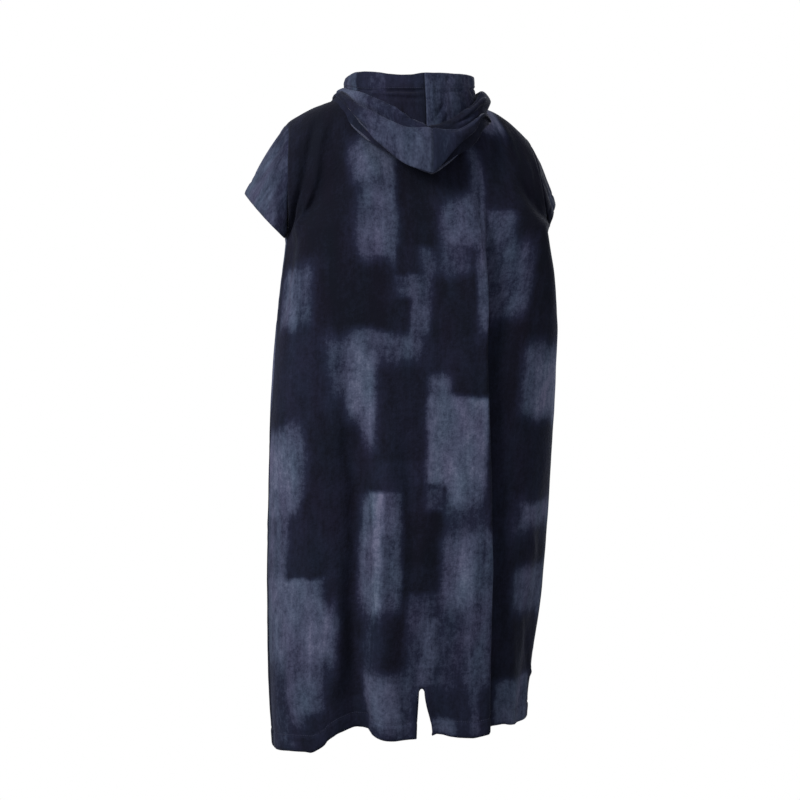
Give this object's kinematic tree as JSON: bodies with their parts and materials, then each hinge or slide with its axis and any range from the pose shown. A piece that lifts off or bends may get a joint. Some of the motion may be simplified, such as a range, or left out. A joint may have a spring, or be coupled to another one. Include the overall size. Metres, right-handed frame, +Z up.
{
  "type": "hooded bath poncho",
  "caption": "Hooded bath poncho in printed cotton terry, worn and hanging open, with its hood folded down and a vent in the back hem.",
  "frame": {"origin": "between the shoulders, in the middle of the neck opening, at the height where the neckline meets the shoulder seams", "axes": "+Z up, +X towards the wearer's left, +Y towards the wearer's back"},
  "size_m": [0.5843, 0.3457, 1.1974],
  "materials": {
    "back_cloth": "dyed cotton terry, cut pile outside and loops inside",
    "front_cloth": "dyed cotton terry, cut pile outside and loops inside",
    "sleeve_cloth": "dyed cotton terry, cut pile outside and loops inside",
    "hood_cloth": "dyed cotton terry, cut pile outside and loops inside"
  },
  "bodies": {
    "root": {"back_panel": "back_cloth", "front_panel": "front_cloth", "sleeve_left": "sleeve_cloth", "sleeve_right": "sleeve_cloth", "hood_left": "hood_cloth", "hood_right": "hood_cloth"}
  },
  "joints": []
}
